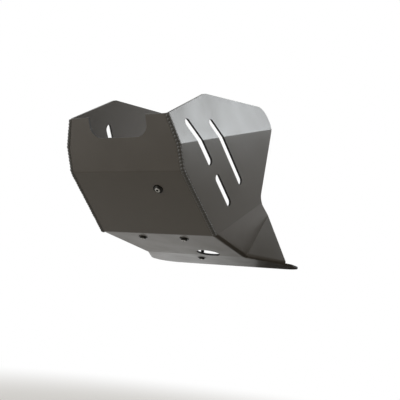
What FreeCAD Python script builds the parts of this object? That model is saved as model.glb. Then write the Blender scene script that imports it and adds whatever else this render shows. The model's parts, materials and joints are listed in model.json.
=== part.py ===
import FreeCAD
import Part

import math
import os

# Motorcycle skid plate: one folded aluminium sheet, welded at its two front corners, with four
# flanged button head bolts. Millimetres, +Z up, +Y towards the rear wheel, +X to the rider's left.
# The model is drawn from the fold where the floor turns up into the lower front panel, on the
# middle plane, at the level of the rear floor's outside face. Every face is first a plane on
# the outside of the sheet. The sheet is the room between two rounded cores inside those planes.

# Sheet
sheet = 3.0
bend_radius = 3.0

# Middle panels, measured along their outside faces, with their slopes from the level rear floor
front_floor_length = 126.2
front_floor_slope = 5.64
lower_front_length = 118.4
lower_front_slope = 33.8
upper_front_length = 73.6
upper_front_slope = 61.5

# Half the nose's width, and half the width at a wing's foot on the rear floor
nose_half_width = 95.0
foot_half_width = 131.5

# The rear floor behind the wings' feet: the run in which each side edge turns straight back
tail_length = 73.4
tail_turn_run = 10.2
tail_corner_radius = 32.0

# Side wings, upright at the nose and splayed towards the rear
wing_splay = 3.9
shoulder_fold_rise = 35.2
shoulder_fold_slope = 21.9
shoulder_bend = 14.7
heel_fold_slope = 29.2
heel_bend = 10.0
flare_fold_slope = 56.1
flare_fold_length = 93.6
flare_bend = 33.9

# Corners of a wing's outline in side view: along the plate from a fold, height above the rear floor
waist_behind_keel = 5.4
waist_height = 90.5
waist_radius = 15.0
rear_corner_behind_keel = 31.0
rear_corner_height = 252.5
rear_top_radius = 30.0
front_corner_behind_crest = 91.5
front_corner_height = 204.7
front_top_radius = 30.0

# Notch in the top edge of the upper front panel
notch_half_width = 44.0
notch_depth = 28.0
notch_corner_radius = 17.0

# Slots through each wing, in two parallel rows in side view
slot_width = 12.0
slot_slope = 33.4
slot_row_gap = 47.7
slot_behind_crest = 38.0
slot_above_crest = 5.1
front_slot_length = 77.4
slot_bridge = 19.2
lower_slot_length = 58.0
rear_slot_start = 37.7
rear_slot_length = 119.0

# Round access hole in the front floor
drain_radius = 18.5
drain_behind_nose = 110.5
drain_offset = 33.5

# Bolts: M6 flanged button heads with a hexagon socket, and their holes. The threaded end is
# a plain round at the thread's pitch diameter.
grip_radius = 3.0
grip_length = 4.0
thread_radius = 2.675
shank_length = 16.0
thread_chamfer = 0.8
bolt_hole_clearance = 0.3
flange_radius = 6.8
flange_height = 1.0
button_radius = 5.25
head_height = 3.3
button_top_radius = 2.9
socket_width = 4.0
socket_depth = 2.0

# Bolt places: off the middle plane, and along the panel from its lower or front fold
front_bolt_offset = 39.5
front_bolt_rise = 88.0
floor_bolt_offset = 35.0
floor_bolt_behind_nose = 23.0
rear_bolt_offset = -6.0
rear_bolt_behind_keel = 43.0

# Weld bead along each front corner, as rippled rounds whose axis lies under both faces
bead_radius = 2.9
bead_ripple = 0.55
bead_pitch = 6.5
bead_crown_share = 0.75
bead_sides = 8
bead_axis_depth = 1.7

# Working lengths: half the size of an endless block, the reach of a cutter past the sheet,
# the stretch of the flare's fold past the wing's edge, and the gap that counts as none
far = 900.0
cutter_reach = 36.0
fold_overrun = 9.0
no_gap = 0.001

# How deep the core's sharp faces lie, so that growing it rounds every bend
core_depth = sheet + bend_radius

X_AXIS = FreeCAD.Vector(1, 0, 0)
Y_AXIS = FreeCAD.Vector(0, 1, 0)
Z_AXIS = FreeCAD.Vector(0, 0, 1)
MIDDLE = FreeCAD.Vector(0, 0, 0)


def side_point(y, z):
    """A point on the middle plane."""
    return FreeCAD.Vector(0, y, z)


def along_slope(slope, length):
    """A step on the middle plane, rearwards and up for a positive length."""
    angle = math.radians(slope)
    return side_point(length * math.cos(angle), length * math.sin(angle))


def forward_and_up(slope, length):
    """A step on the middle plane, forwards and up."""
    angle = math.radians(slope)
    return side_point(-length * math.cos(angle), length * math.sin(angle))


def panel_normal(slope):
    """The outward normal of a middle panel that rises forwards at this slope."""
    angle = math.radians(slope)
    return side_point(-math.sin(angle), -math.cos(angle))


class Facet:
    """One flat face of the plate: a point on its outside and the outward normal."""

    def __init__(self, point, normal):
        self.point = point
        self.normal = normal.normalize()

    def at(self, y, z):
        """The facet's outside point at this place in side view."""
        normal = self.normal
        drop = normal.y * (y - self.point.y) + normal.z * (z - self.point.z)
        return FreeCAD.Vector(self.point.x - drop / normal.x, y, z)

    def fold_direction(self, slope):
        """The direction in the facet that rises rearwards at this slope in side view."""
        step = along_slope(slope, 1.0)
        normal = self.normal
        across = -(normal.y * step.y + normal.z * step.z) / normal.x
        return FreeCAD.Vector(across, step.y, step.z).normalize()

    def folded(self, point, direction, angle):
        """The next facet across a fold line, turned inwards above the line by a positive angle."""
        normal = FreeCAD.Rotation(direction, -angle).multVec(self.normal)
        return Facet(point, normal)


def half_space(facet, depth):
    """The block behind a facet, this deep under its outside face."""
    block = Part.makeBox(2 * far, 2 * far, far, FreeCAD.Vector(-far, -far, -far))
    turn = FreeCAD.Rotation(Z_AXIS, facet.normal)
    block.Placement = FreeCAD.Placement(facet.point - facet.normal * depth, turn)
    return block


def common_point(facets, depth):
    """The point this deep under three facets."""
    normals = [facet.normal for facet in facets]
    reach = [facet.normal.dot(facet.point) - depth for facet in facets]
    first, second, third = normals
    volume = first.dot(second.cross(third))
    total = second.cross(third) * reach[0] + third.cross(first) * reach[1] + first.cross(second) * reach[2]
    return total * (1.0 / volume)


# Folds on the middle plane, from the rear floor to the top edge
nose = side_point(0, front_floor_length * math.sin(math.radians(front_floor_slope)))
keel = side_point(front_floor_length * math.cos(math.radians(front_floor_slope)), 0)
brow = nose + forward_and_up(lower_front_slope, lower_front_length)
crest = brow + forward_and_up(upper_front_slope, upper_front_length)

rear_floor = Facet(keel, panel_normal(0))
front_floor = Facet(nose, panel_normal(front_floor_slope))
lower_front = Facet(brow, panel_normal(lower_front_slope))
upper_front = Facet(crest, panel_normal(upper_front_slope))
panels = [rear_floor, front_floor, lower_front, upper_front]

# Facets of the left wing, each folded from its neighbour
side_turn = FreeCAD.Rotation(Z_AXIS, -wing_splay)
side_facet = Facet(FreeCAD.Vector(nose_half_width, 0, 0), side_turn.multVec(X_AXIS))

shoulder_start = brow + forward_and_up(upper_front_slope, shoulder_fold_rise)
shoulder_point = side_facet.at(shoulder_start.y, shoulder_start.z)
shoulder_fold = side_facet.fold_direction(shoulder_fold_slope)
shoulder_facet = side_facet.folded(shoulder_point, shoulder_fold, shoulder_bend)

heel_point = side_facet.at(nose.y, nose.z)
heel_fold = side_facet.fold_direction(heel_fold_slope)
heel_facet = side_facet.folded(heel_point, heel_fold, -heel_bend)

flare_point = heel_facet.at(keel.y, keel.z)
flare_fold = heel_facet.fold_direction(flare_fold_slope)
flare_facet = heel_facet.folded(flare_point, flare_fold, flare_bend)
flare_top = flare_point + flare_fold * flare_fold_length

# The fold between the rear floor and the flare, and where a wing's rear edge comes down to it
floor_fold = flare_facet.normal.cross(rear_floor.normal).normalize()
flare_foot = flare_point + floor_fold * ((foot_half_width - flare_point.x) / floor_fold.x)
rear_edge_y = flare_foot.y + tail_length


def rounded_face(corners):
    """A face inside a closed outline of (point, corner radius) pairs, with arcs at its corners."""
    count = len(corners)
    stretches = []
    for index, (point, radius) in enumerate(corners):
        if radius == 0:
            stretches.append((point, None, point))
            continue
        back = (corners[index - 1][0] - point).normalize()
        ahead = (corners[(index + 1) % count][0] - point).normalize()
        half_angle = back.getAngle(ahead) / 2
        cut = radius / math.tan(half_angle)
        rise = radius / math.sin(half_angle) - radius
        middle = point + (back + ahead).normalize() * rise
        stretches.append((point + back * cut, middle, point + ahead * cut))
    edges = []
    for index, (start, middle, end) in enumerate(stretches):
        if middle is not None:
            edges.append(Part.Arc(start, middle, end).toShape())
        following = stretches[(index + 1) % count][0]
        if following.distanceToPoint(end) > no_gap:
            edges.append(Part.LineSegment(end, following).toShape())
    return Part.Face(Part.Wire(edges))


def slab_across(corners):
    """A side view outline, made solid over the whole width."""
    moved = [(point - X_AXIS * far, radius) for point, radius in corners]
    return rounded_face(moved).extrude(X_AXIS * (2 * far))


def sharp_core():
    """The core with sharp edges, open at the top and rear, and round only under the flare's fold."""
    across_fold = side_point(-flare_fold.z, flare_fold.y).normalize() * cutter_reach
    past_fold = side_point(flare_top.y, flare_top.z) + along_slope(flare_fold_slope, fold_overrun)
    above = past_fold + across_fold
    below = past_fold - across_fold
    top_z = rear_corner_height + cutter_reach
    room = slab_across([
        (side_point(-far, -far), 0),
        (side_point(far, -far), 0),
        (side_point(far, below.z), 0),
        (below, 0),
        (above, 0),
        (side_point(above.y, top_z), 0),
        (side_point(-far, top_z), 0),
    ])
    upright = room
    for facet in (side_facet, shoulder_facet, heel_facet):
        upright = upright.common(half_space(facet, core_depth))
    core = upright.fuse(room.common(half_space(flare_facet, core_depth))).removeSplitter()
    valley = [edge for edge in core.Edges if lies_under(edge, (heel_facet, flare_facet))]
    core = core.makeFillet(bend_radius + core_depth, valley)
    core = core.common(core.mirror(MIDDLE, X_AXIS))
    for facet in panels:
        core = core.common(half_space(facet, core_depth))
    return core.removeSplitter()


def lies_under(edge, facets):
    """True for an edge whose ends are the core's depth under each of the facets."""
    ends = [vertex.Point for vertex in edge.Vertexes]
    gaps = [abs(facet.normal.dot(end - facet.point) + core_depth) for facet in facets for end in ends]
    return max(gaps) < no_gap


def grown(core, distance):
    """The core grown by this distance, which rounds all its outer edges."""
    return core.makeOffsetShape(distance, no_gap, join=0)


def plate_outline():
    """The side view outline that cuts the wings' edges, the top edge and the rear edge."""
    waist = side_point(keel.y + waist_behind_keel, waist_height)
    rear_top = side_point(keel.y + rear_corner_behind_keel, rear_corner_height)
    front_top = side_point(crest.y + front_corner_behind_crest, front_corner_height)
    top_inside = crest - upper_front.normal * sheet
    top_outside = crest + upper_front.normal * cutter_reach
    return slab_across([
        (side_point(top_outside.y, -cutter_reach), 0),
        (side_point(rear_edge_y, -cutter_reach), 0),
        (side_point(rear_edge_y, sheet), 0),
        (side_point(flare_foot.y, sheet), 0),
        (side_point(flare_top.y, flare_top.z), 0),
        (waist, waist_radius),
        (rear_top, rear_top_radius),
        (front_top, front_top_radius),
        (top_inside, 0),
        (top_outside, 0),
    ])


def plan_outline():
    """The top view outline that cuts the rear floor's side edges and its two rear corners."""
    turn = flare_foot + floor_fold * tail_turn_run
    turn_radius = tail_turn_run / math.tan(floor_fold.getAngle(Y_AXIS) / 2)
    left = [
        (FreeCAD.Vector(far, -far, 0), 0),
        (FreeCAD.Vector(far, flare_foot.y, 0), 0),
        (flare_foot, 0),
        (turn, turn_radius),
        (FreeCAD.Vector(turn.x, rear_edge_y, 0), tail_corner_radius),
    ]
    right = [(FreeCAD.Vector(-point.x, point.y, 0), radius) for point, radius in reversed(left)]
    face = rounded_face(left + right)
    face.translate(Z_AXIS * -far)
    return face.extrude(Z_AXIS * (2 * far))


def top_notch():
    """The cutter for the notch in the top edge of the upper front panel."""
    up = forward_and_up(upper_front_slope, 1.0)
    base = crest + upper_front.normal * cutter_reach
    bottom = base - up * notch_depth
    top = base + up * notch_depth
    side = X_AXIS * notch_half_width
    face = rounded_face([
        (bottom - side, notch_corner_radius),
        (bottom + side, notch_corner_radius),
        (top + side, 0),
        (top - side, 0),
    ])
    return face.extrude(upper_front.normal * (-2 * cutter_reach))


def slot_cutter(start, length):
    """An obround through both wings from its front tip, along the rows' slope in side view."""
    step = along_slope(-slot_slope, 1.0)
    rise = panel_normal(slot_slope) * (slot_width / -2)
    end = start + step * length
    corners = (start - rise, end - rise, end + rise, start + rise)
    return slab_across([(corner, slot_width / 2) for corner in corners])


def wing_slots():
    """The cutters of the three slots: front and lower in one row, rear in the other."""
    step = along_slope(-slot_slope, 1.0)
    row_step = panel_normal(slot_slope) * -slot_row_gap
    start = crest + side_point(slot_behind_crest, slot_above_crest)
    lower_start = start + step * (front_slot_length + slot_bridge)
    rear_start = start + row_step + step * rear_slot_start
    return [
        slot_cutter(start, front_slot_length),
        slot_cutter(lower_start, lower_slot_length),
        slot_cutter(rear_start, rear_slot_length),
    ]


def floor_hole(facet, place, radius):
    """A drill through the sheet at this place on a facet's outside face."""
    start = place + facet.normal * cutter_reach
    return Part.makeCylinder(radius, 2 * cutter_reach, start, facet.normal * -1)


# Where each bolt's head sits on the outside face, with the facet that it sits on
front_bolt_place = nose + forward_and_up(lower_front_slope, front_bolt_rise) + X_AXIS * front_bolt_offset
floor_bolt_middle = nose + forward_and_up(front_floor_slope, -floor_bolt_behind_nose)
left_bolt_place = floor_bolt_middle + X_AXIS * floor_bolt_offset
right_bolt_place = floor_bolt_middle - X_AXIS * floor_bolt_offset
rear_bolt_place = keel + side_point(rear_bolt_behind_keel, 0) + X_AXIS * rear_bolt_offset
drain_place = nose + forward_and_up(front_floor_slope, -drain_behind_nose) + X_AXIS * drain_offset

bolts = {
    "front_bolt": (lower_front, front_bolt_place),
    "left_floor_bolt": (front_floor, left_bolt_place),
    "right_floor_bolt": (front_floor, right_bolt_place),
    "rear_bolt": (rear_floor, rear_bolt_place),
}


def skid_plate(folded_sheet):
    """The folded sheet with its edges, notch, slots and holes cut."""
    plate = folded_sheet.common(plate_outline()).common(plan_outline())
    cutters = [top_notch(), floor_hole(front_floor, drain_place, drain_radius)]
    cutters += wing_slots()
    for facet, place in bolts.values():
        cutters.append(floor_hole(facet, place, grip_radius + bolt_hole_clearance))
    for cutter in cutters:
        plate = plate.cut(cutter)
    return plate.removeSplitter()


def polygon_ring(sides, corner_radius, place, direction):
    """A regular polygon about this place, square to this direction."""
    turn = FreeCAD.Rotation(Z_AXIS, direction)
    corners = []
    for index in range(sides + 1):
        angle = math.tau * index / sides
        corner = FreeCAD.Vector(corner_radius * math.cos(angle), corner_radius * math.sin(angle), 0)
        corners.append(place + turn.multVec(corner))
    return Part.makePolygon(corners)


def bead_knots():
    """The bead's axis along the left corner, from the nose fold to just under the top edge."""
    crest_facet = Facet(crest, forward_and_up(upper_front_slope, 1.0))
    return [
        common_point((front_floor, lower_front, side_facet), bead_axis_depth),
        common_point((lower_front, upper_front, side_facet), bead_axis_depth),
        common_point((upper_front, side_facet, shoulder_facet), bead_axis_depth),
        common_point((upper_front, shoulder_facet, crest_facet), bead_axis_depth),
    ]


def weld_bead(outside):
    """The left corner's bead: rings that swell and shrink along its axis, seated on the sheet."""
    knots = bead_knots()
    directions = [(end - start).normalize() for start, end in zip(knots, knots[1:])]
    trough = bead_radius - bead_ripple
    rings = [polygon_ring(bead_sides, trough, knots[0], directions[0])]
    for index, direction in enumerate(directions):
        start, end = knots[index], knots[index + 1]
        count = max(2, round(start.distanceToPoint(end) / bead_pitch))
        ripple = (end - start) / count
        following = directions[min(index + 1, len(directions) - 1)]
        for step in range(count):
            crown = start + ripple * (step + bead_crown_share)
            rings.append(polygon_ring(bead_sides, bead_radius, crown, direction))
            facing = direction if step < count - 1 else direction + following
            rings.append(polygon_ring(bead_sides, trough, start + ripple * (step + 1), facing))
    bead = Part.makeLoft(rings, True, True).cut(outside)
    return max(bead.Solids, key=lambda solid: solid.Volume)


def dome_middle():
    """Halfway round the button's side, on a sphere whose middle lies on the bolt's axis."""
    top = FreeCAD.Vector(button_top_radius, 0, head_height)
    bottom = FreeCAD.Vector(button_radius, 0, flange_height)
    level = (top.dot(top) - bottom.dot(bottom)) / (2 * (head_height - flange_height))
    centre = Z_AXIS * level
    halfway = (top + bottom - centre * 2).normalize()
    return centre + halfway * top.distanceToPoint(centre)


def bolt(facet, place):
    """A flanged button head bolt: head on the outside face, plain grip and threaded end inside."""
    outline = [
        FreeCAD.Vector(0, 0, head_height),
        FreeCAD.Vector(button_top_radius, 0, head_height),
        dome_middle(),
        FreeCAD.Vector(button_radius, 0, flange_height),
        FreeCAD.Vector(flange_radius, 0, flange_height),
        FreeCAD.Vector(flange_radius, 0, 0),
        FreeCAD.Vector(grip_radius, 0, 0),
        FreeCAD.Vector(grip_radius, 0, -grip_length),
        FreeCAD.Vector(thread_radius, 0, -grip_length),
        FreeCAD.Vector(thread_radius, 0, thread_chamfer - shank_length),
        FreeCAD.Vector(thread_radius - thread_chamfer, 0, -shank_length),
        FreeCAD.Vector(0, 0, -shank_length),
        FreeCAD.Vector(0, 0, head_height),
    ]
    solid = Part.Face(Part.makePolygon(outline)).revolve(MIDDLE, Z_AXIS, 360)
    socket_floor = Z_AXIS * (head_height - socket_depth)
    socket = Part.Face(polygon_ring(6, socket_width / math.sqrt(3), socket_floor, Z_AXIS))
    solid = solid.cut(socket.extrude(Z_AXIS * head_height))
    solid.Placement = FreeCAD.Placement(place, FreeCAD.Rotation(Z_AXIS, facet.normal))
    return solid


def placed(shape):
    """The finished shape in the part's frame, whose origin is under the middle of its box."""
    middle_y = (crest.y + rear_edge_y) / 2
    return shape.translated(FreeCAD.Vector(0, -middle_y, head_height))


def main():
    """Builds every piece and writes one STEP file for each."""
    core = sharp_core()
    outside = grown(core, core_depth)
    inside = grown(core, bend_radius)
    left_bead = weld_bead(outside)
    pieces = {
        "skid_plate": skid_plate(outside.cut(inside)),
        "left_weld_bead": left_bead,
        "right_weld_bead": left_bead.mirror(MIDDLE, X_AXIS),
    }
    for name, (facet, place) in bolts.items():
        pieces[name] = bolt(facet, place)
    os.makedirs("parts", exist_ok=True)
    for name, shape in pieces.items():
        placed(shape).exportStep(os.path.join("parts", name + ".step"))
        solids = len(shape.Solids)
        print(name, "solids", solids, "valid", shape.isValid(), "volume", round(shape.Volume))


main()
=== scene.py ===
import json
import math

import bmesh
import bpy
from mathutils import Matrix, Vector
from mathutils.bvhtree import BVHTree


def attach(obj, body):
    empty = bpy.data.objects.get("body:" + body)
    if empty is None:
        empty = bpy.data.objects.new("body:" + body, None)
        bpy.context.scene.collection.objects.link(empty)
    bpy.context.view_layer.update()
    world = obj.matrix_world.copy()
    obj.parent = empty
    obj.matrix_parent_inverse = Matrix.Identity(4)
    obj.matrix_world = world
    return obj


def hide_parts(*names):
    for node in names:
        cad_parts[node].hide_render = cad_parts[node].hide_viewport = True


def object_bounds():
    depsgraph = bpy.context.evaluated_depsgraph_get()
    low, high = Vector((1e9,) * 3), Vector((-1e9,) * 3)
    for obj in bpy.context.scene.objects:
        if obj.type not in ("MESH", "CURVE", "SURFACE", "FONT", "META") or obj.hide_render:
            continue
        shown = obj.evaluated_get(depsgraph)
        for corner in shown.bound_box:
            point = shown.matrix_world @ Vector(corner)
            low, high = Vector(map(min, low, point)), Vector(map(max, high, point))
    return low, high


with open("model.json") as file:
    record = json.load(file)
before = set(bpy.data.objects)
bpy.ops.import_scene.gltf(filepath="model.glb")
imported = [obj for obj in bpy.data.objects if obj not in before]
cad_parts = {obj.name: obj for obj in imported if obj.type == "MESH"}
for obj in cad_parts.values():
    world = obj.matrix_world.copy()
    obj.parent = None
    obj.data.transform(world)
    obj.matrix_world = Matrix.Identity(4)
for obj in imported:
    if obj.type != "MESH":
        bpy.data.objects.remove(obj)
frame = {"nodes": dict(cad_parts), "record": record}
cad_low, cad_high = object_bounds()

bl_info = {
    "name": "Motorcycle skid plate",
    "version": (1, 0, 0),
    "blender": (4, 5, 0),
    "location": "View3D > Sidebar > Skid plate",
    "description": "Dresses a folded skid plate: anodised sheet, weld beads, bolts and a studio",
    "category": "Object",
}

MM = 0.001

# Points of a mesh that lie nearer than this are one point
SAME_PLACE = 0.001 * MM

# How far under a face the search for the sheet's far side starts
UNDER_FACE = 0.01 * MM

# The left corner's weld in millimetres, from the nose fold over the front panel's fold and the
# shoulder's fold to just under the top edge. It lies half a millimetre under the rounded corner.
WELD_KNOTS = (
    (93.0, -71.5, 17.7),
    (86.3, -169.0, 83.0),
    (85.2, -185.3, 113.0),
    (74.9, -201.9, 143.6),
)

# Directions in degrees: azimuth from rearwards towards the left, elevation over level. Metres, watts.
SOFT_BOXES = (
    {"name": "rear_soft_box", "azimuth": 46, "elevation": 30, "roll": 18, "distance": 2.1,
     "width": 0.9, "height": 0.68, "power": 19.8, "colour": "#e9f1f8"},
    {"name": "front_soft_box", "azimuth": 215, "elevation": 5, "roll": 0, "distance": 2.2,
     "width": 1.6, "height": 1.2, "power": 38, "colour": "#ecf2fb"},
)

# Cards that stand on the floor. The lower edge runs from the foot's azimuth to the last one, and
# the upper edge, at the top's height, from the first azimuth to the last. The first colour has
# turned into the last one at the grading, a share of the card's width.
# The cards are painted reflections: only the metal's glossy rays see them, as dark and pale
# surroundings mirrored in the sheet
CARDS = (
    {"name": "graded_card", "foot": -33, "first": -20, "last": 8, "distance": 1.2, "top": 0.0,
     "grading": 0.55, "first_colour": "#f4f4f2", "last_colour": "#101010"},
    {"name": "black_card", "foot": -1, "first": -1, "last": 60, "distance": 0.35, "top": 0.0,
     "grading": 1.0, "first_colour": "#101010", "last_colour": "#101010"},
    {"name": "grey_card", "foot": 18, "first": 18, "last": 85, "distance": 2.6, "top": 1.12,
     "grading": 1.0, "first_colour": "#eeeff0", "last_colour": "#9d9b98"},
)


def linear(hex_colour):
    """An sRGB hex colour as linear red, green, blue and a full alpha."""
    channels = [int(hex_colour[start:start + 2], 16) / 255 for start in (1, 3, 5)]
    return [c / 12.92 if c <= 0.04045 else ((c + 0.055) / 1.055) ** 2.4 for c in channels] + [1.0]


def direction(azimuth, elevation=0):
    """The direction at this azimuth and elevation in degrees."""
    turn = math.radians(azimuth)
    rise = math.radians(elevation)
    return Vector((math.sin(turn) * math.cos(rise), math.cos(turn) * math.cos(rise), math.sin(rise)))


def new_object(name, data):
    """An object in the scene that holds this mesh, light or camera."""
    made = bpy.data.objects.new(name, data)
    bpy.context.scene.collection.objects.link(made)
    return made


def add_node(tree, kind, inputs=None, **settings):
    """Adds a node with its settings. Each input is given a plain value or another node's output."""
    node = tree.nodes.new(kind)
    for name, value in settings.items():
        setattr(node, name, value)
    for key, value in (inputs or {}).items():
        if isinstance(value, bpy.types.NodeSocket):
            tree.links.new(value, node.inputs[key])
        else:
            node.inputs[key].default_value = value
    return node


def new_material(name):
    """A material with an empty node tree."""
    material = bpy.data.materials.new(name)
    material.use_nodes = True
    material.node_tree.nodes.clear()
    return material


def hard_anodised_aluminium(finish):
    """Hard anodised aluminium sheet, dyed dark grey and left satin by its etching bath.

    The oxide hides the metal's brightness but keeps its broad, soft reflections. The dye takes
    unevenly, which shows as faint clouds, and the rolled sheet has a fine lengthwise grain.
    """
    material = new_material("hard_anodised_aluminium")
    tree = material.node_tree
    place = add_node(tree, "ShaderNodeTexCoord").outputs["Object"]
    # Clouds of the dye, about 40 mm across
    clouds = add_node(tree, "ShaderNodeTexNoise", {
        "Vector": place, "Scale": 1 / (40 * MM), "Detail": 3.0})
    dark = [c * finish.cloud_shade for c in finish.sheet_colour]
    shade = add_node(tree, "ShaderNodeMix", {
        "Factor": clouds.outputs["Fac"], "A": (*dark, 1.0), "B": (*finish.sheet_colour, 1.0)},
        data_type="RGBA")
    # Rolling grain: real lines are under 0.1 mm apart, and are drawn 0.9 mm apart to show at all
    stretched = add_node(tree, "ShaderNodeMapping", {"Vector": place, "Scale": (1.0, 0.06, 0.06)})
    grain = add_node(tree, "ShaderNodeTexNoise", {
        "Vector": stretched.outputs["Vector"], "Scale": 1 / (0.9 * MM), "Detail": 2.0})
    # Etched pitting, drawn at 0.6 mm for the same reason
    pits = add_node(tree, "ShaderNodeTexNoise", {
        "Vector": place, "Scale": 1 / (0.6 * MM), "Detail": 2.0})
    relief = add_node(tree, "ShaderNodeMath", {
        0: grain.outputs["Fac"], 1: pits.outputs["Fac"]}, operation="ADD")
    bump = add_node(tree, "ShaderNodeBump", {
        "Height": relief.outputs["Value"], "Strength": 0.12, "Distance": 0.05 * MM})
    roughness = add_node(tree, "ShaderNodeMapRange", {
        "Value": clouds.outputs["Fac"], "From Min": 0.3, "From Max": 0.7,
        "To Min": finish.sheet_roughness - finish.roughness_spread,
        "To Max": finish.sheet_roughness + finish.roughness_spread})
    shader = add_node(tree, "ShaderNodeBsdfPrincipled", {
        "Base Color": shade.outputs["Result"], "Metallic": 0.3,
        "Roughness": roughness.outputs["Result"], "Normal": bump.outputs["Normal"]})
    add_node(tree, "ShaderNodeOutputMaterial", {"Surface": shader.outputs["BSDF"]})
    return material


def anodised_laser_cut_edge(finish):
    """The sheet's laser-cut edge with fine ribs, in a darker colour that is painted shade."""
    material = new_material("anodised_laser_cut_edge")
    tree = material.node_tree
    place = add_node(tree, "ShaderNodeTexCoord").outputs["Object"]
    # The cut's ribs are about 0.3 mm apart, and are drawn 0.8 mm apart to show
    ribs = add_node(tree, "ShaderNodeTexNoise", {
        "Vector": place, "Scale": 1 / (0.8 * MM), "Detail": 1.0})
    bump = add_node(tree, "ShaderNodeBump", {
        "Height": ribs.outputs["Fac"], "Strength": 0.3, "Distance": 0.1 * MM})
    shader = add_node(tree, "ShaderNodeBsdfPrincipled", {
        "Base Color": (*finish.painted_edge_shade_colour, 1.0), "Metallic": 0.6, "Roughness": 0.55,
        "Normal": bump.outputs["Normal"]})
    add_node(tree, "ShaderNodeOutputMaterial", {"Surface": shader.outputs["BSDF"]})
    return material


def anodised_weld_metal(finish):
    """Weld metal anodised with the sheet: its filler alloy takes the dye a little darker."""
    material = new_material("anodised_weld_metal")
    tree = material.node_tree
    place = add_node(tree, "ShaderNodeTexCoord").outputs["Object"]
    # Soot and spatter in patches of about 2.5 mm
    soot = add_node(tree, "ShaderNodeTexNoise", {
        "Vector": place, "Scale": 1 / (2.5 * MM), "Detail": 3.0})
    shade = add_node(tree, "ShaderNodeValToRGB", {"Fac": soot.outputs["Fac"]})
    sooty, clean = shade.color_ramp.elements
    sooty.position = 0.42
    sooty.color = (*[c * finish.soot_shade for c in finish.weld_colour], 1.0)
    clean.position = 0.66
    clean.color = (*finish.weld_colour, 1.0)
    bump = add_node(tree, "ShaderNodeBump", {
        "Height": soot.outputs["Fac"], "Strength": 0.5, "Distance": 0.2 * MM})
    shader = add_node(tree, "ShaderNodeBsdfPrincipled", {
        "Base Color": shade.outputs["Color"], "Metallic": 0.3, "Roughness": 0.48,
        "Normal": bump.outputs["Normal"]})
    add_node(tree, "ShaderNodeOutputMaterial", {"Surface": shader.outputs["BSDF"]})
    return material


def black_oxide_steel(finish):
    """Turned steel with a black oxide and oil finish: near black, with a tight oily highlight.

    A painted highlight in a pale steel colour lies round the socket, where an attribute says so.
    """
    material = new_material("black_oxide_steel")
    tree = material.node_tree
    painted_highlight = add_node(tree, "ShaderNodeAttribute", attribute_name="painted_highlight")
    # Pale steel colour mixed in as a painted highlight, where the attribute says so
    highlighted = add_node(tree, "ShaderNodeMix", {
        "Factor": painted_highlight.outputs["Fac"], "A": (*finish.bolt_colour, 1.0),
        "B": (*finish.painted_highlight_colour, 1.0)}, data_type="RGBA")
    place = add_node(tree, "ShaderNodeTexCoord").outputs["Object"]
    # Oil film in smears of about 3 mm
    smears = add_node(tree, "ShaderNodeTexNoise", {
        "Vector": place, "Scale": 1 / (3 * MM), "Detail": 2.0})
    roughness = add_node(tree, "ShaderNodeMapRange", {
        "Value": smears.outputs["Fac"], "From Min": 0.3, "From Max": 0.7,
        "To Min": 0.24, "To Max": 0.4})
    shader = add_node(tree, "ShaderNodeBsdfPrincipled", {
        "Base Color": highlighted.outputs["Result"], "Metallic": 0.9,
        "Roughness": roughness.outputs["Result"]})
    add_node(tree, "ShaderNodeOutputMaterial", {"Surface": shader.outputs["BSDF"]})
    return material


def backdrop_rays(tree):
    """One for rays that meet a white backdrop: the camera's, and those off metal or through glass."""
    ray = add_node(tree, "ShaderNodeLightPath").outputs
    opaque = add_node(tree, "ShaderNodeMath", {
        0: ray["Is Camera Ray"], 1: ray["Is Glossy Ray"]}, operation="MAXIMUM")
    every = add_node(tree, "ShaderNodeMath", {
        0: opaque.outputs["Value"], 1: ray["Is Transmission Ray"]}, operation="MAXIMUM")
    return every.outputs["Value"]


def matt_white_board(stage):
    """Matt white board, which takes the part's shadow and fades into a white backdrop far off."""
    material = new_material("matt_white_board")
    tree = material.node_tree
    board = add_node(tree, "ShaderNodeBsdfPrincipled", {
        "Base Color": (*stage.floor_colour, 1.0), "Roughness": 0.9})
    backdrop = add_node(tree, "ShaderNodeEmission", {"Color": (1, 1, 1, 1), "Strength": 1.0})
    place = add_node(tree, "ShaderNodeTexCoord").outputs["Object"]
    flat_place = add_node(tree, "ShaderNodeVectorMath", {
        0: place, 1: (1, 1, 0)}, operation="MULTIPLY")
    distance = add_node(tree, "ShaderNodeVectorMath", {
        0: flat_place.outputs["Vector"]}, operation="LENGTH")
    faded = add_node(tree, "ShaderNodeMapRange", {
        "Value": distance.outputs["Value"], "From Min": stage.board_radius,
        "From Max": stage.backdrop_radius}, interpolation_type="SMOOTHSTEP")
    share = add_node(tree, "ShaderNodeMath", {
        0: faded.outputs["Result"], 1: backdrop_rays(tree)}, operation="MULTIPLY")
    mixed = add_node(tree, "ShaderNodeMixShader", {
        0: share.outputs["Value"], 1: board.outputs["BSDF"], 2: backdrop.outputs["Emission"]})
    add_node(tree, "ShaderNodeOutputMaterial", {"Surface": mixed.outputs["Shader"]})
    return material


def graded_board(name, first_colour, last_colour, grading):
    """Matt board painted from its first colour to its last one, along the across attribute."""
    material = new_material(name)
    tree = material.node_tree
    across = add_node(tree, "ShaderNodeAttribute", attribute_name="across")
    graded = add_node(tree, "ShaderNodeMapRange", {"Value": across.outputs["Fac"], "From Max": grading})
    shade = add_node(tree, "ShaderNodeMix", {
        "Factor": graded.outputs["Result"], "A": linear(first_colour), "B": linear(last_colour)},
        data_type="RGBA")
    shader = add_node(tree, "ShaderNodeBsdfPrincipled", {
        "Base Color": shade.outputs["Result"], "Roughness": 0.9})
    add_node(tree, "ShaderNodeOutputMaterial", {"Surface": shader.outputs["BSDF"]})
    return material


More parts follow.
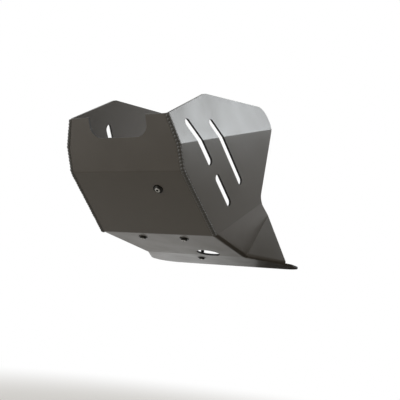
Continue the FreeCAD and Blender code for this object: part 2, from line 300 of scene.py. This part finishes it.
def merged_copy(node, name, crease):
    """A copy of a CAD node with its triangles joined, smooth over bends flatter than the crease."""
    mesh = bpy.data.meshes.new(name)
    mesh.from_pydata(
        [v.co for v in node.data.vertices], [], [p.vertices for p in node.data.polygons])
    joined = bmesh.new()
    joined.from_mesh(mesh)
    bmesh.ops.remove_doubles(joined, verts=joined.verts, dist=SAME_PLACE)
    joined.to_mesh(mesh)
    joined.free()
    mesh.shade_smooth()
    mesh.set_sharp_from_angle(angle=crease)
    piece = new_object(name, mesh)
    weighted = piece.modifiers.new("flat_faces_stay_flat", "WEIGHTED_NORMAL")
    weighted.keep_sharp = True
    return piece


def flattened(piece):
    """The piece as its modifiers leave it, as a plain mesh with none."""
    bpy.context.view_layer.update()
    evaluated = piece.evaluated_get(bpy.context.evaluated_depsgraph_get())
    mesh = bpy.data.meshes.new_from_object(evaluated)
    name = piece.name
    bpy.data.objects.remove(piece)
    mesh.name = name
    return new_object(name, mesh)


def set_inputs(modifier, values):
    """Sets a Geometry Nodes modifier's named inputs by their sockets' identifiers."""
    for item in modifier.node_group.interface.items_tree:
        if item.item_type == "SOCKET" and item.in_out == "INPUT" and item.name in values:
            modifier[item.identifier] = values[item.name]


def new_tree(name, sockets):
    """A Geometry Nodes tree with geometry in and out and these named inputs."""
    tree = bpy.data.node_groups.new(name, "GeometryNodeTree")
    tree.interface.new_socket("Geometry", in_out="OUTPUT", socket_type="NodeSocketGeometry")
    tree.interface.new_socket("Geometry", in_out="INPUT", socket_type="NodeSocketGeometry")
    for label, kind in sockets.items():
        tree.interface.new_socket(label, in_out="INPUT", socket_type=kind)
    return tree


def ripple_tree():
    """Lays overlapping weld ripples along a path: leaning oval drops, a little uneven in size."""
    tree = new_tree("weld_ripples", {
        "Pitch": "NodeSocketFloat",
        "Radius": "NodeSocketFloat",
        "Half Length": "NodeSocketFloat",
        "Lean": "NodeSocketFloat",
        "Unevenness": "NodeSocketFloat",
        "Outward": "NodeSocketVector",
        "Seed": "NodeSocketInt",
        "Material": "NodeSocketMaterial",
    })
    given = add_node(tree, "NodeGroupInput").outputs
    path = add_node(tree, "GeometryNodeMeshToCurve", {"Mesh": given["Geometry"]})
    points = add_node(tree, "GeometryNodeResampleCurve", {
        "Curve": path.outputs["Curve"], "Length": given["Pitch"]}, mode="LENGTH")
    tangent = add_node(tree, "GeometryNodeInputTangent")
    along = add_node(tree, "FunctionNodeAlignRotationToVector", {
        "Vector": tangent.outputs["Tangent"]}, axis="Z")
    facing = add_node(tree, "FunctionNodeAlignRotationToVector", {
        "Rotation": along.outputs["Rotation"], "Vector": given["Outward"]},
        axis="X", pivot_axis="Z")
    lean = add_node(tree, "ShaderNodeCombineXYZ", {"Y": given["Lean"]})
    leaning = add_node(tree, "FunctionNodeRotateRotation", {
        "Rotation": facing.outputs["Rotation"], "Rotate By": lean.outputs["Vector"]},
        rotation_space="LOCAL")
    least = add_node(tree, "ShaderNodeMath", {
        0: 1.0, 1: given["Unevenness"]}, operation="SUBTRACT")
    size = add_node(tree, "FunctionNodeRandomValue", {
        "Min": least.outputs["Value"], "Max": 1.0, "Seed": given["Seed"]}, data_type="FLOAT")
    drop_size = add_node(tree, "ShaderNodeCombineXYZ", {
        "X": given["Radius"], "Y": given["Radius"], "Z": given["Half Length"]})
    scale = add_node(tree, "ShaderNodeVectorMath", {
        0: drop_size.outputs["Vector"], "Scale": size.outputs["Value"]}, operation="SCALE")
    drop = add_node(tree, "GeometryNodeMeshUVSphere", {"Segments": 16, "Rings": 10, "Radius": 1.0})
    drops = add_node(tree, "GeometryNodeInstanceOnPoints", {
        "Points": points.outputs["Curve"], "Instance": drop.outputs["Mesh"],
        "Rotation": leaning.outputs["Rotation"], "Scale": scale.outputs["Vector"]})
    real = add_node(tree, "GeometryNodeRealizeInstances", {"Geometry": drops.outputs["Instances"]})
    smooth = add_node(tree, "GeometryNodeSetShadeSmooth", {"Geometry": real.outputs["Geometry"]})
    finished = add_node(tree, "GeometryNodeSetMaterial", {
        "Geometry": smooth.outputs["Geometry"], "Material": given["Material"]})
    add_node(tree, "NodeGroupOutput", {"Geometry": finished.outputs["Geometry"]})
    return tree


def thread_tree():
    """Winds a thread's ridge up from each point, round the direction held in its axis attribute."""
    tree = new_tree("bolt_thread", {
        "Pitch": "NodeSocketFloat",
        "Length": "NodeSocketFloat",
        "Core Radius": "NodeSocketFloat",
        "Ridge": "NodeSocketFloat",
        "Material": "NodeSocketMaterial",
    })
    given = add_node(tree, "NodeGroupInput").outputs
    turns = add_node(tree, "ShaderNodeMath", {
        0: given["Length"], 1: given["Pitch"]}, operation="DIVIDE")
    helix = add_node(tree, "GeometryNodeCurveSpiral", {
        "Resolution": 32, "Rotations": turns.outputs["Value"], "Start Radius": given["Core Radius"],
        "End Radius": given["Core Radius"], "Height": given["Length"]})
    section = add_node(tree, "GeometryNodeCurvePrimitiveCircle", {
        "Resolution": 4, "Radius": given["Ridge"]}, mode="RADIUS")
    ridge = add_node(tree, "GeometryNodeCurveToMesh", {
        "Curve": helix.outputs["Curve"], "Profile Curve": section.outputs["Curve"],
        "Fill Caps": True})
    axis = add_node(tree, "GeometryNodeInputNamedAttribute", {
        "Name": "axis"}, data_type="FLOAT_VECTOR")
    upright = add_node(tree, "FunctionNodeAlignRotationToVector", {
        "Vector": axis.outputs["Attribute"]}, axis="Z")
    threads = add_node(tree, "GeometryNodeInstanceOnPoints", {
        "Points": given["Geometry"], "Instance": ridge.outputs["Mesh"],
        "Rotation": upright.outputs["Rotation"]})
    real = add_node(tree, "GeometryNodeRealizeInstances", {
        "Geometry": threads.outputs["Instances"]})
    finished = add_node(tree, "GeometryNodeSetMaterial", {
        "Geometry": real.outputs["Geometry"], "Material": given["Material"]})
    add_node(tree, "NodeGroupOutput", {"Geometry": finished.outputs["Geometry"]})
    return tree


def grown_from(name, points, lines, tree, values, vectors=None):
    """A plain mesh that a Geometry Nodes tree makes from points and the lines between them."""
    mesh = bpy.data.meshes.new(name)
    mesh.from_pydata(points, lines, [])
    for label, rows in (vectors or {}).items():
        layer = mesh.attributes.new(label, "FLOAT_VECTOR", "POINT")
        layer.data.foreach_set("vector", [value for row in rows for value in row])
    piece = new_object(name, mesh)
    modifier = piece.modifiers.new(tree.name, "NODES")
    modifier.node_group = tree
    set_inputs(modifier, values)
    piece = flattened(piece)
    if not piece.data.polygons:
        raise RuntimeError(name + " came out empty")
    return piece


def hand_over(piece, slot, *nodes):
    """The piece rides on the part's one body and stands for these CAD nodes."""
    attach(piece, "root")
    if nodes:
        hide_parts(*nodes)


def mark_painted_highlight(piece, end, finish):
    """Writes a bolt's painted highlight: one round its socket, fading to none down the head's dome."""
    axis = Vector(end["axis"])
    middle = Vector(end["pos_m"])
    crown = middle + axis * min((v.co - middle).dot(axis) for v in piece.data.vertices)
    shares = []
    # Share of painted highlight at each point of the bolt
    for vertex in piece.data.vertices:
        offset = vertex.co - crown
        depth = offset.dot(axis)
        beside = (offset - axis * depth).length
        fading = (finish.painted_highlight_end - beside) / (finish.painted_highlight_end - finish.painted_highlight_start)
        in_socket = beside < finish.painted_highlight_start and depth > finish.socket_lip
        in_highlight = depth < finish.painted_highlight_depth and not in_socket
        shares.append(min(1.0, max(0.0, fading)) if in_highlight else 0.0)
    piece.data.attributes.new("painted_highlight", "FLOAT", "POINT").data.foreach_set("value", shares)


class SkidPlateFinish(bpy.types.PropertyGroup):
    """Colours and finish of the metal."""

    sheet_colour: bpy.props.FloatVectorProperty(
        name="Sheet colour", description="Dyed oxide on the folded sheet", subtype="COLOR",
        default=linear("#3a342b")[:3], min=0.0, max=1.0)
    cloud_shade: bpy.props.FloatProperty(
        name="Cloud shade", description="Brightness of the dye's dark clouds beside the sheet's colour",
        default=0.86, min=0.0, max=1.0, subtype="FACTOR")
    sheet_roughness: bpy.props.FloatProperty(
        name="Sheet roughness", description="How far the satin finish spreads reflections",
        default=0.33, min=0.05, max=1.0, subtype="FACTOR")
    roughness_spread: bpy.props.FloatProperty(
        name="Roughness spread", description="How far the clouds raise or lower the roughness",
        default=0.03, min=0.0, max=0.05, subtype="FACTOR")
    edge_depth: bpy.props.FloatProperty(
        name="Edge depth", description="Metal deeper than this lies only behind a cut edge",
        default=4.5 * MM, unit="LENGTH")
    # Painted shade: the cut edges' colour is darker than the sheet's faces
    painted_edge_shade_colour: bpy.props.FloatVectorProperty(
        name="Cut edge colour", description="Dyed oxide on the cut edges", subtype="COLOR",
        default=linear("#2b2a28")[:3], min=0.0, max=1.0)
    weld_colour: bpy.props.FloatVectorProperty(
        name="Weld colour", description="Dyed oxide on the weld beads", subtype="COLOR",
        default=linear("#37332b")[:3], min=0.0, max=1.0)
    soot_shade: bpy.props.FloatProperty(
        name="Soot shade", description="Brightness of the weld's soot beside the weld's colour",
        default=0.7, min=0.0, max=1.0, subtype="FACTOR")
    bolt_colour: bpy.props.FloatVectorProperty(
        name="Bolt colour", description="Black oxide on the bolts", subtype="COLOR",
        default=linear("#191713")[:3], min=0.0, max=1.0)
    # Painted highlight: a pale steel colour on the bolts' heads round the socket
    painted_highlight_colour: bpy.props.FloatVectorProperty(
        name="Bare steel colour", description="Steel where the oxide has worn off",
        subtype="COLOR", default=linear("#bdbab3")[:3], min=0.0, max=1.0)
    # Where the bolts' painted highlight lies: full up to the start, none from the end on, none
    # below the depth and none inside the socket's lip
    painted_highlight_start: bpy.props.FloatProperty(
        name="Wear start", description="All bare steel up to here from the middle of a bolt's head",
        default=2.4 * MM, unit="LENGTH")
    painted_highlight_end: bpy.props.FloatProperty(
        name="Wear end", description="All oxide from here on from the middle of a bolt's head",
        default=4.0 * MM, unit="LENGTH")
    painted_highlight_depth: bpy.props.FloatProperty(
        name="Wear depth", description="All oxide from here on below the crown of a bolt's head",
        default=3.2 * MM, unit="LENGTH")
    socket_lip: bpy.props.FloatProperty(
        name="Socket lip", description="All oxide from here on down into a bolt's socket",
        default=0.1 * MM, unit="LENGTH")


class SkidPlateDetails(bpy.types.PropertyGroup):
    """Sizes of what repeats on the part, and where its faces meet sharply."""

    sheet_crease: bpy.props.FloatProperty(
        name="Sheet crease", description="Faces of the sheet that meet at a sharper bend show an edge",
        default=math.radians(32), unit="ROTATION")
    ripple_pitch: bpy.props.FloatProperty(
        name="Ripple pitch", description="Distance between a weld bead's ripples",
        default=4.5 * MM, unit="LENGTH")
    ripple_radius: bpy.props.FloatProperty(
        name="Ripple radius", description="Half a weld bead's width, partly sunk in the sheet",
        default=3.2 * MM, unit="LENGTH")
    ripple_half_length: bpy.props.FloatProperty(
        name="Ripple half length", description="Half the length of a ripple along its lean",
        default=4.3 * MM, unit="LENGTH")
    ripple_lean: bpy.props.FloatProperty(
        name="Ripple lean", description="How far each ripple leans over the one before",
        default=math.radians(35), unit="ROTATION")
    ripple_unevenness: bpy.props.FloatProperty(
        name="Ripple unevenness", description="How much smaller the smallest ripple may be",
        default=0.1, min=0.0, max=1.0, subtype="FACTOR")
    ripple_facing: bpy.props.FloatVectorProperty(
        name="Ripple facing", description="Outward direction at the left corner",
        subtype="DIRECTION", default=(0.75, -0.6, -0.25))
    ripple_seed: bpy.props.IntProperty(
        name="Ripple seed", description="Picks the ripples' uneven sizes", default=4)
    bolt_crease: bpy.props.FloatProperty(
        name="Bolt crease", description="Faces of a bolt that meet at a sharper bend show an edge",
        default=math.radians(35), unit="ROTATION")
    thread_pitch: bpy.props.FloatProperty(
        name="Thread pitch", description="Coarse pitch of a 6 mm thread",
        default=1.0 * MM, unit="LENGTH")
    thread_ridge: bpy.props.FloatProperty(
        name="Thread ridge", description="Height of the thread's ridge over its pitch diameter",
        default=0.3 * MM, unit="LENGTH")


class SkidPlateStage(bpy.types.PropertyGroup):
    """Floor, backdrop, even light and camera."""

    floor_drop: bpy.props.FloatProperty(
        name="Floor drop", description="How far below the part the studio's floor lies",
        default=0.42, unit="LENGTH")
    floor_reach: bpy.props.FloatProperty(
        name="Floor reach", description="Half the floor's width", default=12.0, unit="LENGTH")
    floor_colour: bpy.props.FloatVectorProperty(
        name="Floor colour", description="Matt white board", subtype="COLOR",
        default=linear("#dfdedc")[:3], min=0.0, max=1.0)
    board_radius: bpy.props.FloatProperty(
        name="Board radius", description="Distance at which the floor starts to fade",
        default=1.1, unit="LENGTH")
    backdrop_radius: bpy.props.FloatProperty(
        name="Backdrop radius", description="Distance from which on the floor is white backdrop",
        default=2.2, unit="LENGTH")
    world_strength: bpy.props.FloatProperty(
        name="World strength", description="Even light from all round", default=0.68, min=0.0)
    low_light_colour: bpy.props.FloatVectorProperty(
        name="Low light colour", description="Even light from level and below", subtype="COLOR",
        default=linear("#f0f5ff")[:3], min=0.0, max=1.0)
    high_light_colour: bpy.props.FloatVectorProperty(
        name="High light colour", description="Even light from above", subtype="COLOR",
        default=linear("#f3eee6")[:3], min=0.0, max=1.0)
    camera_place: bpy.props.FloatVectorProperty(
        name="Camera place", description="In front of, left of and just below the part",
        subtype="TRANSLATION", default=(0.4451, -0.8092, -0.0922))
    camera_azimuth: bpy.props.FloatProperty(
        name="Camera azimuth", description="Turn about the vertical, from looking straight rearwards",
        default=math.radians(27.26), unit="ROTATION")
    camera_elevation: bpy.props.FloatProperty(
        name="Camera elevation", description="Below level, looking up",
        default=math.radians(-10.82), unit="ROTATION")
    camera_roll: bpy.props.FloatProperty(
        name="Camera roll", description="Turn about the line of sight",
        default=math.radians(6.34), unit="ROTATION")
    camera_lens: bpy.props.FloatProperty(
        name="Camera lens", description="Focal length in millimetres for a 36 mm sensor",
        default=54.0, min=10.0)


class SKIDPLATE_OT_folded_sheet(bpy.types.Operator):
    """Dresses the folded sheet and tells its faces from its cut edges"""

    bl_idname = "skidplate.folded_sheet"
    bl_label = "Folded sheet"

    def execute(self, context):
        finish = context.scene.skid_plate_finish
        crease = context.scene.skid_plate_details.sheet_crease
        piece = flattened(merged_copy(frame["nodes"]["skid_plate"], "folded_sheet", crease))
        mesh = piece.data
        mesh.materials.clear()
        mesh.materials.append(hard_anodised_aluminium(finish))
        mesh.materials.append(anodised_laser_cut_edge(finish))
        cut_edge = len(mesh.materials) - 1
        # Behind a face of the sheet there is one thickness of metal, and behind a cut edge far more
        tree = BVHTree.FromPolygons(
            [v.co for v in mesh.vertices], [p.vertices for p in mesh.polygons])
        for polygon in mesh.polygons:
            start = polygon.center - polygon.normal * UNDER_FACE
            *_, depth = tree.ray_cast(start, -polygon.normal)
            if depth is None or depth > finish.edge_depth:
                polygon.material_index = cut_edge
        hand_over(piece, "sheet", "skid_plate")
        return {"FINISHED"}


class SKIDPLATE_OT_weld_beads(bpy.types.Operator):
    """Lays the rippled weld bead along each front corner"""

    bl_idname = "skidplate.weld_beads"
    bl_label = "Weld beads"

    def execute(self, context):
        details = context.scene.skid_plate_details
        material = anodised_weld_metal(context.scene.skid_plate_finish)
        tree = ripple_tree()
        lines = [(index, index + 1) for index in range(len(WELD_KNOTS) - 1)]
        sideways, rearwards, up = details.ripple_facing
        for side, name in ((1, "left_weld"), (-1, "right_weld")):
            knots = [Vector((side * x, y, z)) * MM for x, y, z in WELD_KNOTS]
            piece = grown_from(name, knots, lines, tree, {
                "Pitch": details.ripple_pitch,
                "Radius": details.ripple_radius,
                "Half Length": details.ripple_half_length,
                "Lean": details.ripple_lean,
                "Unevenness": details.ripple_unevenness,
                "Outward": (side * sideways, rearwards, up),
                "Seed": details.ripple_seed + side,
                "Material": material,
            })
            hand_over(piece, "weld", name + "_bead")
        return {"FINISHED"}


class SKIDPLATE_OT_bolts(bpy.types.Operator):
    """Dresses the four bolts and winds the threads on their free ends"""

    bl_idname = "skidplate.bolts"
    bl_label = "Bolts"

    def execute(self, context):
        finish = context.scene.skid_plate_finish
        details = context.scene.skid_plate_details
        material = black_oxide_steel(finish)
        ends = [mount for mount in frame["record"]["mounts"] if mount["kind"] == "pin"]
        for end in ends:
            name = end["name"].removesuffix("_end")
            piece = merged_copy(frame["nodes"][name], name + "_coated", details.bolt_crease)
            piece = flattened(piece)
            piece.data.materials.clear()
            piece.data.materials.append(material)
            mark_painted_highlight(piece, end, finish)
            hand_over(piece, "bolt", name)
        # The ridge is kept clear of both ends of the shaft by its own height
        length = ends[0]["dims"]["length_mm"] * MM - 2 * details.thread_ridge
        starts = [Vector(end["pos_m"]) - Vector(end["axis"]) * length / 2 for end in ends]
        threads = grown_from("bolt_threads", starts, [], thread_tree(), {
            "Pitch": details.thread_pitch,
            "Length": length,
            "Core Radius": ends[0]["dims"]["r_mm"] * MM,
            "Ridge": details.thread_ridge,
            "Material": material,
        }, {"axis": [end["axis"] for end in ends]})
        hand_over(threads, "bolt")
        return {"FINISHED"}


def add_floor(stage, level):
    """Lays the white floor at this level."""
    reach = stage.floor_reach
    corners = ((-reach, -reach), (reach, -reach), (reach, reach), (-reach, reach))
    mesh = bpy.data.meshes.new("floor")
    mesh.from_pydata([(x, y, level) for x, y in corners], [], [(0, 1, 2, 3)])
    mesh.materials.append(matt_white_board(stage))
    new_object("floor", mesh)


def add_card(card, level):
    """Stands a card on the floor at this level. Only the metal's reflections show it."""
    foot, first, last = (
        direction(card[corner]).xy * card["distance"] for corner in ("foot", "first", "last"))
    top = card["top"]
    mesh = bpy.data.meshes.new(card["name"])
    mesh.from_pydata(
        [(*foot, level), (*last, level), (*last, top), (*first, top)], [], [(0, 1, 2, 3)])
    across = mesh.attributes.new("across", "FLOAT", "POINT")
    across.data.foreach_set("value", (0.0, 1.0, 1.0, 0.0))
    mesh.materials.append(
        graded_board(card["name"], card["first_colour"], card["last_colour"], card["grading"]))
    piece = new_object(card["name"], mesh)
    piece.visible_camera = False
    piece.visible_diffuse = False
    piece.visible_shadow = False


def even_light(stage):
    """The world: even light on the part, and a white backdrop for the camera and in the metal."""
    world = bpy.data.worlds.new("studio")
    world.use_nodes = True
    tree = world.node_tree
    tree.nodes.clear()
    # Light from level and below is a little cooler than light from above. A direction's height
    # runs from -1, straight down, to 1, straight up.
    heading = add_node(tree, "ShaderNodeTexCoord").outputs["Generated"]
    height = add_node(tree, "ShaderNodeSeparateXYZ", {"Vector": heading})
    tint = add_node(tree, "ShaderNodeValToRGB", {"Fac": height.outputs["Z"]})
    low, high = tint.color_ramp.elements
    low.position = 0.06
    low.color = (*stage.low_light_colour, 1.0)
    high.position = 0.2
    high.color = (*stage.high_light_colour, 1.0)
    light = add_node(tree, "ShaderNodeBackground", {
        "Color": tint.outputs["Color"], "Strength": stage.world_strength})
    white = add_node(tree, "ShaderNodeBackground", {"Color": (1, 1, 1, 1), "Strength": 1.0})
    mixed = add_node(tree, "ShaderNodeMixShader", {
        0: backdrop_rays(tree), 1: light.outputs["Background"], 2: white.outputs["Background"]})
    add_node(tree, "ShaderNodeOutputWorld", {"Surface": mixed.outputs["Shader"]})
    return world


def add_soft_box(box):
    """Hangs one of the soft boxes, turned to the part's middle."""
    light = bpy.data.lights.new(box["name"], "AREA")
    light.shape = "RECTANGLE"
    light.size = box["width"]
    light.size_y = box["height"]
    light.energy = box["power"]
    light.color = linear(box["colour"])[:3]
    away = direction(box["azimuth"], box["elevation"])
    place = (cad_low + cad_high) / 2 + away * box["distance"]
    facing = away.to_track_quat("Z", "Y").to_matrix().to_4x4()
    roll = Matrix.Rotation(math.radians(box["roll"]), 4, "Z")
    lamp = new_object(box["name"], light)
    lamp.matrix_world = Matrix.Translation(place) @ facing @ roll
    lamp.visible_camera = False


def add_camera(stage):
    """The camera, in front and to the left of the part and just below it, looking up."""
    data = bpy.data.cameras.new("camera")
    data.lens = stage.camera_lens
    data.sensor_width = 36.0
    heading = Matrix.Rotation(stage.camera_azimuth, 4, "Z")
    tilt = Matrix.Rotation(math.pi / 2 - stage.camera_elevation, 4, "X")
    roll = Matrix.Rotation(stage.camera_roll, 4, "Z")
    camera = new_object("camera", data)
    camera.matrix_world = Matrix.Translation(stage.camera_place) @ (heading @ tilt @ roll)
    return camera


class SKIDPLATE_OT_studio(bpy.types.Operator):
    """Sets up the floor, the cards, the even light, the soft boxes and the camera"""

    bl_idname = "skidplate.studio"
    bl_label = "Studio"

    def execute(self, context):
        scene = context.scene
        stage = scene.skid_plate_stage
        scene.view_settings.view_transform = "Standard"
        level = cad_low.z - stage.floor_drop
        add_floor(stage, level)
        for card in CARDS:
            add_card(card, level)
        scene.world = even_light(stage)
        for box in SOFT_BOXES:
            add_soft_box(box)
        scene.camera = add_camera(stage)
        return {"FINISHED"}


class SKIDPLATE_PT_panel(bpy.types.Panel):
    """Lists the part's pieces and the sizes and colours that can be changed"""

    bl_label = "Skid plate"
    bl_idname = "SKIDPLATE_PT_panel"
    bl_space_type = "VIEW_3D"
    bl_region_type = "UI"
    bl_category = "Skid plate"

    def draw(self, context):
        scene = context.scene
        for group in (scene.skid_plate_finish, scene.skid_plate_details, scene.skid_plate_stage):
            box = self.layout.box()
            for name in group.__annotations__:
                box.prop(group, name)
        for operator in OPERATORS:
            self.layout.operator(operator.bl_idname)


OPERATORS = (
    SKIDPLATE_OT_folded_sheet,
    SKIDPLATE_OT_weld_beads,
    SKIDPLATE_OT_bolts,
    SKIDPLATE_OT_studio,
)
CLASSES = (SkidPlateFinish, SkidPlateDetails, SkidPlateStage, *OPERATORS, SKIDPLATE_PT_panel)


def register():
    """Registers the add-on's classes and hangs its settings on the scene."""
    for kind in CLASSES:
        bpy.utils.register_class(kind)
    bpy.types.Scene.skid_plate_finish = bpy.props.PointerProperty(type=SkidPlateFinish)
    bpy.types.Scene.skid_plate_details = bpy.props.PointerProperty(type=SkidPlateDetails)
    bpy.types.Scene.skid_plate_stage = bpy.props.PointerProperty(type=SkidPlateStage)


def unregister():
    """Takes the settings and the classes away again."""
    del bpy.types.Scene.skid_plate_finish
    del bpy.types.Scene.skid_plate_details
    del bpy.types.Scene.skid_plate_stage
    for kind in reversed(CLASSES):
        bpy.utils.unregister_class(kind)


def main():
    """Builds every piece and the studio."""
    register()
    bpy.ops.skidplate.folded_sheet()
    bpy.ops.skidplate.weld_beads()
    bpy.ops.skidplate.bolts()
    bpy.ops.skidplate.studio()


if __name__ == "__main__":
    main()
